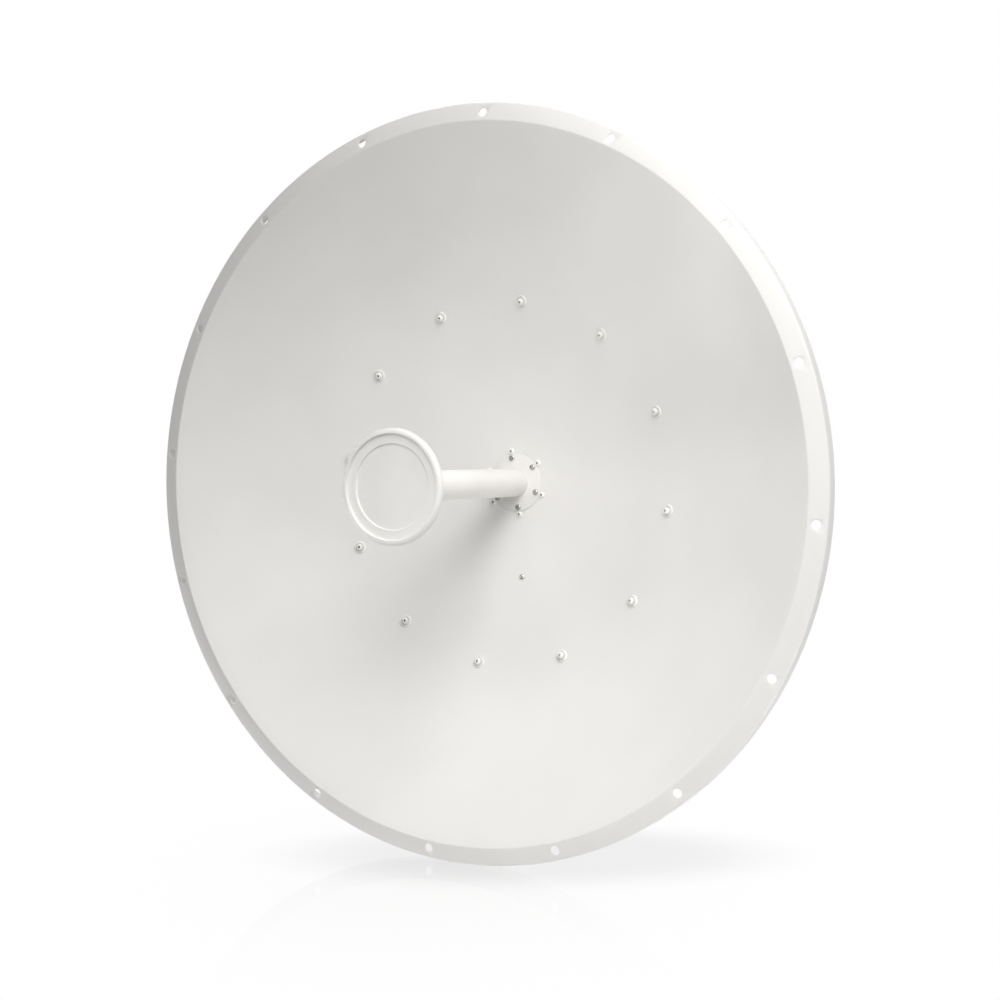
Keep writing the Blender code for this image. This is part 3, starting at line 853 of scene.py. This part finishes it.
def frameBolts(plated):
    # Four bolts hold the uprights to the stiffening ring, and three more hold each ear to its upright.
    bm = bmesh.new()
    low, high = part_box("upright_right")
    gauge, fit = frameBolt["channelGauge"], frameBolt["fit"]
    across = (low.x + high.x) / 2
    up = math.sqrt(frameBolt["ringCircle"] ** 2 - across ** 2)
    washerSeat = span("stiffener_ring")[1] + fit + gauge
    for x in (-across, across):
        for z in (-up, up):
            smallBolt(bm, aimed(atDepth(x, washerSeat, z), toRear), gauge + drum["gauge"] + fit)
    earLow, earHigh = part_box("elevation_ear_right")
    legMiddle = (low.y + gauge + high.y) / 2
    grip = earHigh.x - earLow.x + fit + gauge
    for side in (-1, 1):
        for z in frameBolt["earHeights"]:
            smallBolt(bm, aimed((side * earLow.x, legMiddle, z), (-side, 0, 0)), grip)
    newPiece("frameBolts", bm, plated, "zinc_plate")


# Studio

studio = {
    "turn": 28.821, "tilt": 0.563, "roll": 7.3,          # degrees, how the camera stands to the dish
    "distance": 2.0198, "across": 0.0619, "up": 0.0204,  # from the rim's centre, along the camera's axes
    "lens": 52.61, "sensor": 36.0,                       # mm
    "shiftY": -0.030,
}


def camera():
    data = bpy.data.cameras.new("camera")
    data.sensor_width = studio["sensor"]
    data.lens = studio["lens"]
    data.shift_y = studio["shiftY"]
    turn = (Matrix.Rotation(math.pi / 2, 4, "X") @ Matrix.Rotation(math.radians(-studio["roll"]), 4, "Z")
            @ Matrix.Rotation(math.radians(studio["turn"]), 4, "Y")
            @ Matrix.Rotation(math.radians(-studio["tilt"]), 4, "X"))
    eye = bpy.data.objects.new("camera", data)
    eye.matrix_world = (Matrix.Translation(rimCentre) @ turn
                        @ Matrix.Translation((studio["across"], studio["up"], studio["distance"])))
    scene.collection.objects.link(eye)
    scene.camera = eye


# A softbox stands where an angle round the dish's axis and an angle off it say, both in degrees. It is
# turned to a point of the rim's plane that lies reach towards its own side. A narrow spread is a grid.
bare = {"reach": 0.0, "spread": 180}
nearGrid = {"distance": 1.6, "size": 0.5, "reach": 0.46, "spread": 35}
farGrid = {"distance": 1.6, "size": 0.5, "reach": -0.36, "spread": 35}
softboxes = {
    "nearKey": {"round": 15, "off": 30, "distance": 1.0, "size": 0.6, "power": 3.48, **bare},
    "upperKey": {"round": 45, "off": 75, "distance": 2.4, "size": 1.6, "power": 35.8, **bare},
    "upperGrid": {"round": 45, "off": 55, "power": 0.22, **nearGrid},
    "topGrid": {"round": 90, "off": 30, "power": 0.23, **farGrid},
    "topLeftGrid": {"round": 135, "off": 30, "power": 0.13, **farGrid},
    "lowGrid": {"round": 270, "off": 78, "power": 0.36, **nearGrid},
    "rightGrid": {"round": 315, "off": 55, "power": 0.22, **nearGrid},
    "footGrid": {"round": 225, "off": 78, "power": 0.31, **farGrid, "spread": 45},
    "rimLight": {"round": 308, "off": 100, "distance": 1.6, "size": 0.8, "power": 8, **bare},
    "rearKey": {"round": 130, "off": 135, "distance": 2.6, "size": 1.6, "power": 38, **bare},
}
passesFeed = ("lowGrid", "rightGrid", "footGrid")    # their light casts no shadow of the feed

# A window is a wide far light, as broad as its angle says, with its strength in W/m2. Its distance
# only says where Blender draws it.
windows = {
    "frontWindow": {"round": 54, "off": 50, "distance": 4, "angle": 30, "strength": 0.948},
    "sideWindow": {"round": 195, "off": 86, "distance": 4, "angle": 30, "strength": 1.193},
}
room = {
    "front": 0.06, "back": 0.08,                    # what it lights the surfaces with
    "frontMirrored": 0.32, "backMirrored": 1.0,     # what it shows in a gloss
    "riseFrom": 0.0, "riseTo": 0.4,                 # where the front goes over into the back
}
floor = {
    "size": 40.0,
    # The shadow keys place a painted shadow: an ellipse that dims the floor's glow.
    "shadowCentre": (0.105, 0.052), "shadowReach": (0.43, 0.195), "shadowDepth": 0.125, "shadowFlat": 0.55,
    "mirror": 0.24, "mirrorReach": 0.95, "mirrorFade": 4.0, "mirrorRoughness": 0.0,
}


def wayTo(place):
    # Direction from the rim's centre, and the side of the dish that it lies on.
    turn, off = math.radians(place["round"]), math.radians(place["off"])
    side = Vector((math.cos(turn), 0, math.sin(turn)))
    return side * math.sin(off) + Vector((0, -math.cos(off), 0)), side


def leftOut(name, *pieces):
    # A light that is linked to this group reaches everything but these pieces.
    group = bpy.data.collections.new(name)
    for piece in pieces:
        group.objects.link(bpy.data.objects[piece])
    for item in group.collection_objects:
        item.light_linking.link_state = "EXCLUDE"
    return group


def addLight(name, kind, where, way, lit):
    data = bpy.data.lights.new(name, kind)
    light = bpy.data.objects.new(name, data)
    light.matrix_world = aimed(where, way)
    light.visible_camera = False
    light.light_linking.receiver_collection = lit
    scene.collection.objects.link(light)
    return light


def softbox(name, place, lit, shading):
    way, side = wayTo(place)
    offset = way * place["distance"]
    light = addLight(name, "AREA", rimCentre + offset, offset - side * place["reach"], lit)
    light.data.shape = "SQUARE"
    light.data.size = place["size"]
    light.data.energy = place["power"]
    light.data.spread = math.radians(place["spread"])
    if name in passesFeed:
        light.light_linking.blocker_collection = shading


def window(name, place, lit):
    way = wayTo(place)[0]
    light = addLight(name, "SUN", way * place["distance"], way, lit)
    light.data.angle = math.radians(place["angle"])
    light.data.energy = place["strength"]


def whiteRoom():
    # White to the eye. It lights the surfaces dimly, and its gloss is brighter behind the dish.
    world = bpy.data.worlds.new("whiteRoom")
    world.use_nodes = True
    scene.world = world
    tree = world.node_tree
    background = tree.nodes["Background"]
    way = addNode(tree, "ShaderNodeTexCoord")
    parts = addNode(tree, "ShaderNodeSeparateXYZ", None, {"Vector": way.outputs["Generated"]})
    rays = addNode(tree, "ShaderNodeLightPath")
    mirrored = rays.outputs["Is Glossy Ray"]
    front = addNode(tree, "ShaderNodeMix", {"A": room["front"], "B": room["frontMirrored"]},
                    {"Factor": mirrored})
    back = addNode(tree, "ShaderNodeMix", {"A": room["back"], "B": room["backMirrored"]},
                   {"Factor": mirrored})
    light = addNode(tree, "ShaderNodeMapRange", {
        "interpolation_type": "SMOOTHSTEP", "From Min": room["riseFrom"], "From Max": room["riseTo"],
    }, {"Value": parts.outputs["Y"], "To Min": front.outputs["Result"], "To Max": back.outputs["Result"]})
    strength = addNode(tree, "ShaderNodeMix", {"B": 1.0}, {
        "Factor": rays.outputs["Is Camera Ray"], "A": light.outputs["Result"],
    })
    background.inputs["Color"].default_value = (1, 1, 1, 1)
    tree.links.new(strength.outputs["Result"], background.inputs["Strength"])


def fadeOut(tree, where, centre, reach, power):
    # 1 at the centre and 0 at the reach, over an ellipse of the floor.
    scale = (1 / reach[0], 1 / reach[1], 1)
    moved = addNode(tree, "ShaderNodeMapping", {
        "Location": (-centre[0] * scale[0], -centre[1] * scale[1], 0), "Scale": scale,
    }, {"Vector": where})
    ball = addNode(tree, "ShaderNodeTexGradient", {"gradient_type": "SPHERICAL"},
                   {"Vector": moved.outputs["Vector"]})
    steep = addNode(tree, "ShaderNodeMath", {"operation": "POWER", 1: power}, {0: ball.outputs["Fac"]})
    return steep.outputs["Value"]


def floorMaterial():
    # Glossy white acrylic: a glowing white with a painted soft shadow, and over it the mirror image of the
    # dish's foot.
    material = bpy.data.materials.new("studioFloor")
    material.use_nodes = True
    tree = material.node_tree
    tree.nodes.clear()
    where = addNode(tree, "ShaderNodeTexCoord").outputs["Object"]
    # The shadow under the dish is painted: an ellipse dims the glow, and no lamp casts it.
    shadow = fadeOut(tree, where, floor["shadowCentre"], floor["shadowReach"], 1.0)
    light = addNode(tree, "ShaderNodeMapRange", {
        "interpolation_type": "SMOOTHSTEP", "From Max": floor["shadowFlat"],
        "To Min": 1.0, "To Max": 1.0 - floor["shadowDepth"],
    }, {"Value": shadow})
    glow = addNode(tree, "ShaderNodeEmission", None, {"Strength": light.outputs["Result"]})
    mirror = addNode(tree, "ShaderNodeBsdfGlossy", {"Roughness": floor["mirrorRoughness"]})
    near = fadeOut(tree, where, (0, 0), (floor["mirrorReach"], floor["mirrorReach"]), floor["mirrorFade"])
    share = addNode(tree, "ShaderNodeMath", {"operation": "MULTIPLY", 1: floor["mirror"]}, {0: near})
    both = addNode(tree, "ShaderNodeMixShader", None, {
        "Fac": share.outputs["Value"], 1: glow.outputs["Emission"], 2: mirror.outputs["BSDF"],
    })
    addNode(tree, "ShaderNodeOutputMaterial", None, {"Surface": both.outputs["Shader"]})
    return material


def whiteFloor():
    # A wide plane under the rim, level to the camera. It throws no light or shadow onto the dish.
    half = floor["size"] / 2
    corners = [(-half, -half, 0), (half, -half, 0), (half, half, 0), (-half, half, 0)]
    mesh = bpy.data.meshes.new("studioFloor")
    mesh.from_pydata(corners, [], [(0, 1, 2, 3)])
    mesh.materials.append(floorMaterial())
    roll = Matrix.Rotation(math.radians(studio["roll"]), 4, "Y")
    turn = Matrix.Rotation(math.radians(studio["turn"]), 4, "Z")
    plane = bpy.data.objects.new("studioFloor", mesh)
    plane.matrix_world = (Matrix.Translation(rimCentre) @ roll @ turn
                          @ Matrix.Translation((0, 0, -dish["radius"])))
    plane.visible_diffuse = False
    plane.visible_glossy = False
    plane.visible_shadow = False
    scene.collection.objects.link(plane)


paint = evenFinish(powderCoat)
# The feed's paint is drawn greyer than the dish's as painted shade.
feedPaintWithPaintedShade = evenFinish(feedCoatPaintedShade)
# The disc's paint is drawn greyer again as painted shade.
discPaintWithPaintedShade = evenFinish(discCoatPaintedShade)
asa = evenFinish(mouldedAsa)
cast = evenFinish(dieCast)
plated = evenFinish(zincPlate)
steel = evenFinish(stainless)
mandrelSteelWithPaintedShade = evenFinish(mandrelPaintedShade)
nickelPlate = evenFinish(nickel)
gold = evenFinish(goldFlash)
insulator = evenFinish(ptfe)
zincCoat = spangledFinish(galvanised)
print("materials made")

reflector(paint)
dishFasteners(paint, steel, plated, mandrelSteelWithPaintedShade)
feedTubeAndFlange(feedPaintWithPaintedShade)
feedCone(asa)
subReflector(discPaintWithPaintedShade)
print("dish and feed made")

radioHousing(asa, steel)
for side in ("left", "right"):
    coaxSocket(side, nickelPlate, insulator, gold)
stiffeningRing(paint)
frameAndBracket(paint, zincCoat, cast)
throughBolts(plated)
clampRods(plated)
frameBolts(plated)
print("housing, frame and bracket made")

camera()
whiteRoom()
whiteFloor()
allButFloor = leftOut("allButFloor", "studioFloor")    # so that the floor mirrors no lamp
allButFeed = leftOut("allButFeed", "feedTube", "feedCone", "subReflector")
for name, place in softboxes.items():
    softbox(name, place, allButFloor, allButFeed)
for name, place in windows.items():
    window(name, place, allButFloor)
print("studio made")
